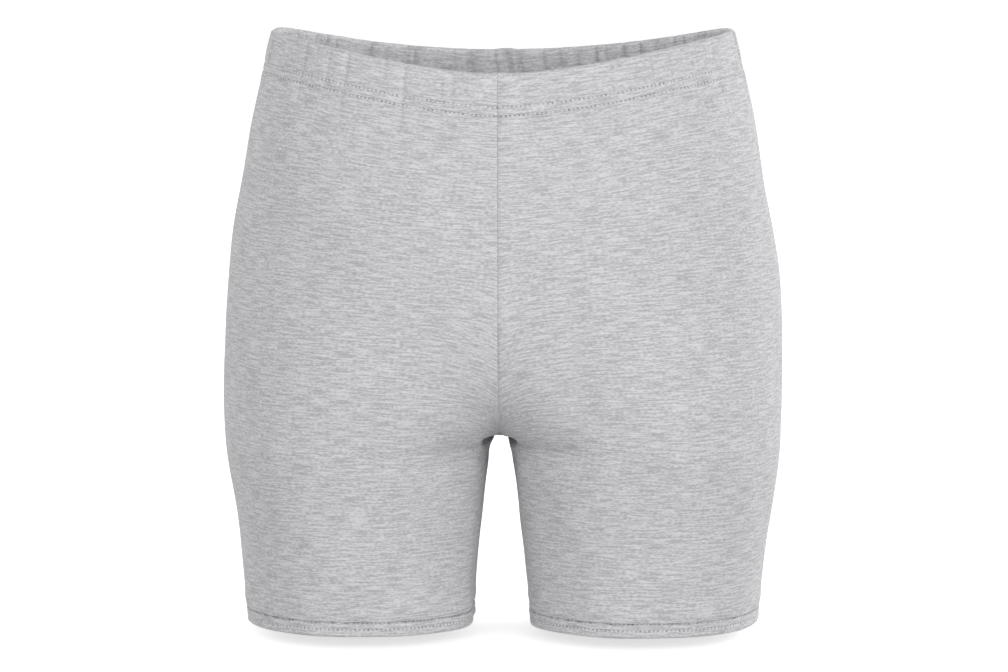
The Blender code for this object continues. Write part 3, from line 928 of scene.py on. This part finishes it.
# Twisted fibres with a faint sheen, a little paler than the cloth, so that the stitches read as pale beads
# between the needle holes. Its shade changes about every 0.9 mm, as the plies turn
TWIST = 0.0009
THREAD_SHADES = (
    # place on the scale of tones, colour
    (0.3, linear("#C8C8CB")),
    (0.7, linear("#E6E6E8")),
)
thread_finish = bpy.data.materials.new("spun polyester thread")
thread_finish.use_nodes = True
tree = thread_finish.node_tree
tree.nodes.clear()
surface = node(tree, "ShaderNodeOutputMaterial")
place = node(tree, "ShaderNodeTexCoord")
twist = node(
    tree, "ShaderNodeTexNoise", {"Scale": 1 / TWIST, "Detail": 1.0}, {"Vector": place.outputs["Object"]}
)
shades = node(tree, "ShaderNodeValToRGB", None, {"Fac": twist.outputs["Fac"]})
for element, (at, colour) in zip(shades.color_ramp.elements, THREAD_SHADES):
    element.position = at
    element.color = colour
fibre = node(
    tree, "ShaderNodeBsdfPrincipled", {"Roughness": 0.6, "IOR": 1.5, "Sheen Weight": 0.2},
    {"Base Color": shades.outputs["Color"]},
)
tree.links.new(fibre.outputs["BSDF"], surface.inputs["Surface"])
sewing = {"left": [], "right": []}


def thread(name, runs, radius, fits):
    """Sewing thread as one object, from runs of points, riding on the body and going with a leg's cloth."""
    line = bpy.data.curves.new(name, "CURVE")
    line.dimensions = "3D"
    line.bevel_depth = radius
    line.bevel_resolution = 1
    line.use_fill_caps = True
    for run in runs:
        spline = line.splines.new("POLY")
        spline.points.add(len(run) - 1)
        spline.points.foreach_set("co", np.column_stack([run, np.ones(len(run))]).reshape(-1))
    line.materials.append(thread_finish)
    piece = bpy.data.objects.new(name, line)
    bpy.context.scene.collection.objects.link(piece)
    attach(piece, "root")
    sewing[fits].append(piece)


# One stitch: where its points lie on its length, and how far out, in thread radii. Its length, height and
# place sway a little by sines of its number, so that neighbours differ
STITCH_SHARE = 0.68
STITCH_POINTS = np.array([0.06, 0.2, 0.5, 0.8, 0.94])
STITCH_LIFTS = np.array([-0.35, 0.75, 1.05, 0.75, -0.35])
LENGTH_SWAY = 0.07
HEIGHT_SWAY = 0.22
PLACE_SWAY = 0.35
LOWER_ROW_SUNK = 0.00016
HEM_ROWS_SUNK = (0.00042, 0.00022)


def needle_row(side, row, radius, sunk=0.0):
    """The stitches of one needle along a row of the cloth: each lies on the face and dives at both ends."""
    line = from_side[int(round(row))]
    first, last = math.ceil(line[0] / STITCH), math.floor(line[-1] / STITCH)
    stitches = []
    for number in range(first, last):
        uneven = math.sin(2.3 * number) + 0.6 * math.sin(5.9 * number + 1)
        share = STITCH_SHARE + LENGTH_SWAY * uneven
        ends = (number + STITCH_POINTS * share + (1 - share) / 2) * STITCH
        columns = np.interp(ends, line, np.arange(len(line)))
        lift = STITCH_LIFTS * radius * (1 + HEIGHT_SWAY * uneven) - sunk
        aside = row + PLACE_SWAY * math.sin(3.7 * number)
        stitches.append(on_cloth(side, aside, columns, lift))
    return stitches


# A zigzag of the looper thread in four steps: the share of the way to the lower row, and the lift in radii
LOOPER_SHARES = np.array([0.0, 0.5, 1.0, 0.5])
LOOPER_LIFTS = np.array([1.0, 2.2, 1.0, 2.8])


def looper_run(side, upper_row, lower_row):
    """The looper thread behind two needle rows, in a zigzag from one to the other."""
    line = from_side[int(round(upper_row))]
    first, last = math.ceil(line[0] / STITCH), math.floor(line[-1] / STITCH)
    turns = np.arange(first * 4, last * 4)
    columns = np.interp(turns / 4 * STITCH, line, np.arange(len(line)))
    share = LOOPER_SHARES[turns % 4]
    lift = LOOPER_LIFTS[turns % 4] * LOOPER
    return [on_cloth(side, upper_row + (lower_row - upper_row) * share, columns, lift)]


OVERLOCK_PITCH = 0.0025
OVERLOCK_LIFT = ALLOWANCE_TOP - ALLOWANCE_LAYERS
OVERLOCK_MIDDLE = 0.003
OVERLOCK_SAMPLES = 60
OVERLOCK_LOOP = (
    # part of the pitch, distance from the seam, lift in radii
    (0.0, 0.0014, -1.0),
    (0.3, 0.0040, -1.0),
    (0.5, 0.0064, -0.6),
    (0.5, 0.0067, 6.0),
    (0.55, 0.0064, -0.6),
    (0.8, 0.0040, -2.0),
)


def overlock(side, from_row, to_row, at_back):
    """Loops that run from the seam to the raw edge of an allowance and turn over it."""
    samples = np.linspace(from_row, to_row, OVERLOCK_SAMPLES)
    places = [on_cloth(side, r, column_at(side, r, OVERLOCK_MIDDLE, at_back), 0.0) for r in samples]
    steps = np.linalg.norm(np.diff(places, axis=0), axis=1)
    way = np.concatenate([[0.0], np.cumsum(steps)])
    points = []
    for number in range(int(steps.sum() / OVERLOCK_PITCH)):
        for part, distance, lift in OVERLOCK_LOOP:
            row = np.interp((number + part) * OVERLOCK_PITCH, way, samples)
            column = column_at(side, row, distance, at_back)
            points.append(on_cloth(side, row, column, OVERLOCK_LIFT + lift * LOOPER))
    return [np.array(points)]


upper, lower = (row_of("casing", depth) for depth in WAIST_ROWS)
upper_in, lower_in = (row_of("casing", depth, True) for depth in WAIST_ROWS)
hem_upper, hem_lower = (row_of("hem", height) for height in HEM_ROWS)
hem_upper_in, hem_lower_in = (row_of("hem", height, True) for height in HEM_ROWS)
for side in ("left", "right"):
    thread(f"waist_upper_row_{side}", needle_row(side, upper, UPPER_THREAD), UPPER_THREAD, side)
    thread(f"waist_lower_row_{side}", needle_row(side, lower, THREAD, LOWER_ROW_SUNK), THREAD, side)
    thread(f"waist_looper_{side}", looper_run(side, upper_in, lower_in), LOOPER, side)
    hem_rows = needle_row(side, hem_upper, THREAD, HEM_ROWS_SUNK[0])
    hem_rows += needle_row(side, hem_lower, THREAD, HEM_ROWS_SUNK[1])
    thread(f"hem_needle_rows_{side}", hem_rows, THREAD, side)
    thread(f"hem_looper_{side}", looper_run(side, hem_upper_in, hem_lower_in), LOOPER, side)
    thread(f"inseam_overlock_{side}", overlock(side, hem_edge_row, crotch_row, True), LOOPER, side)
rise_runs = overlock("left", crotch_row, casing_edge_row, False)
rise_runs += overlock("left", crotch_row, casing_edge_row, True)
thread("rise_overlock", rise_runs, LOOPER, "left")


# Waist elastic. A 20 mm strip of woven polyester and rubber, joined in a ring and closed inside the casing.
# It keeps its solid. The eye would see an off-white matt band with fine ribs along it
RIB = 0.0012
WAVE_PERIOD = 0.314
elastic = bpy.data.materials.new("woven elastic")
elastic.use_nodes = True
tree = elastic.node_tree
tree.nodes.clear()
surface = node(tree, "ShaderNodeOutputMaterial")
place = node(tree, "ShaderNodeTexCoord")
bands = node(
    tree, "ShaderNodeTexWave", {"bands_direction": "Z", "Scale": WAVE_PERIOD / RIB, "Distortion": 0.4},
    {"Vector": place.outputs["Object"]},
)
shades = node(tree, "ShaderNodeValToRGB", None, {"Fac": bands.outputs["Fac"]})
shades.color_ramp.elements[0].color = linear("#CFCDC6")
shades.color_ramp.elements[1].color = linear("#E8E6E0")
relief = node(tree, "ShaderNodeBump", {"Strength": 0.6, "Distance": 0.0003}, {"Height": bands.outputs["Fac"]})
woven = node(
    tree, "ShaderNodeBsdfPrincipled", {"Roughness": 0.8, "Sheen Weight": 0.1},
    {"Base Color": shades.outputs["Color"], "Normal": relief.outputs["Normal"]},
)
tree.links.new(woven.outputs["BSDF"], surface.inputs["Surface"])
band_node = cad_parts["waist_elastic"]
band_node.data.materials.clear()
band_node.data.materials.append(elastic)


# Studio. A floor of matt white paper just below the hems, with soft light all round: a wide box in front, a
# key from the right, a weaker fill from the left and two boxes from behind. The paper glows, so that it
# stays near white, and is left out of the diffuse light on the cloth
FLOOR_GAP = 0.009
PAPER = {
    "Base Color": (0.88, 0.88, 0.88, 1.0),
    "Emission Color": (1.0, 1.0, 1.0, 1.0),
    "Emission Strength": 0.58,
    "Roughness": 0.95,
    "Specular IOR Level": 0.1,
}
SKY = 0.50
bpy.ops.mesh.primitive_plane_add(size=60.0, location=(0.0, 0.0, -HEM_DROP - FLOOR_GAP))
floor = bpy.context.object
floor.name = "floor"
paper = bpy.data.materials.new("matt white paper")
paper.use_nodes = True
for name, value in PAPER.items():
    paper.node_tree.nodes["Principled BSDF"].inputs[name].default_value = value
floor.data.materials.append(paper)
floor.visible_diffuse = False

world = bpy.data.worlds.new("studio")
world.use_nodes = True
world.node_tree.nodes["Background"].inputs["Color"].default_value = (1.0, 1.0, 1.0, 1.0)
world.node_tree.nodes["Background"].inputs["Strength"].default_value = SKY
bpy.context.scene.world = world

SOFT_BOX_AIM = (0.0, 0.0, -0.17)
SOFT_BOXES = (
    # name, place, width, height, power
    ("key", (2.3, -2.3, 0.8), 1.8, 1.6, 26.0),
    ("front", (0.2, -3.6, 1.0), 3.8, 1.4, 66.0),
    ("fill", (-1.9, -2.9, 0.9), 1.8, 1.6, 12.0),
    ("rim right", (2.6, 2.0, 0.6), 1.6, 1.6, 64.0),
    ("rim left", (-2.6, 2.0, 0.6), 1.6, 1.6, 34.0),
)
for name, place, width, height, power in SOFT_BOXES:
    light = bpy.data.lights.new(name, "AREA")
    light.shape = "RECTANGLE"
    light.size = width
    light.size_y = height
    light.energy = power
    lamp = bpy.data.objects.new(name, light)
    bpy.context.scene.collection.objects.link(lamp)
    lamp.visible_camera = False
    aim = np.array(SOFT_BOX_AIM) - np.array(place)
    lamp.location = place
    lamp.rotation_euler = Vector(aim).to_track_quat("-Z", "Y").to_euler()

# A long lens, a little above the waist and a touch to the right of the front
CAMERA_DISTANCE = 3.6
CAMERA_ELEVATION = math.radians(7.3)
CAMERA_AZIMUTH = math.radians(1.5)
LOOK_AT = (0.0005, 0.0, -0.188)
PICTURE_WIDTH = 1008
PIXEL = 0.000645
camera_data = bpy.data.cameras.new("camera")
camera_data.sensor_width = 36.0
camera_data.lens = camera_data.sensor_width * CAMERA_DISTANCE / (PICTURE_WIDTH * PIXEL)
camera_data.clip_end = 100.0
camera = bpy.data.objects.new("camera", camera_data)
bpy.context.scene.collection.objects.link(camera)
back = Vector((
    math.sin(CAMERA_AZIMUTH) * math.cos(CAMERA_ELEVATION),
    -math.cos(CAMERA_AZIMUTH) * math.cos(CAMERA_ELEVATION),
    math.sin(CAMERA_ELEVATION),
))
camera.location = Vector(LOOK_AT) + back * CAMERA_DISTANCE
camera.rotation_euler = (-back).to_track_quat("-Z", "Y").to_euler()
bpy.context.scene.camera = camera
bpy.context.scene.view_settings.view_transform = "Standard"
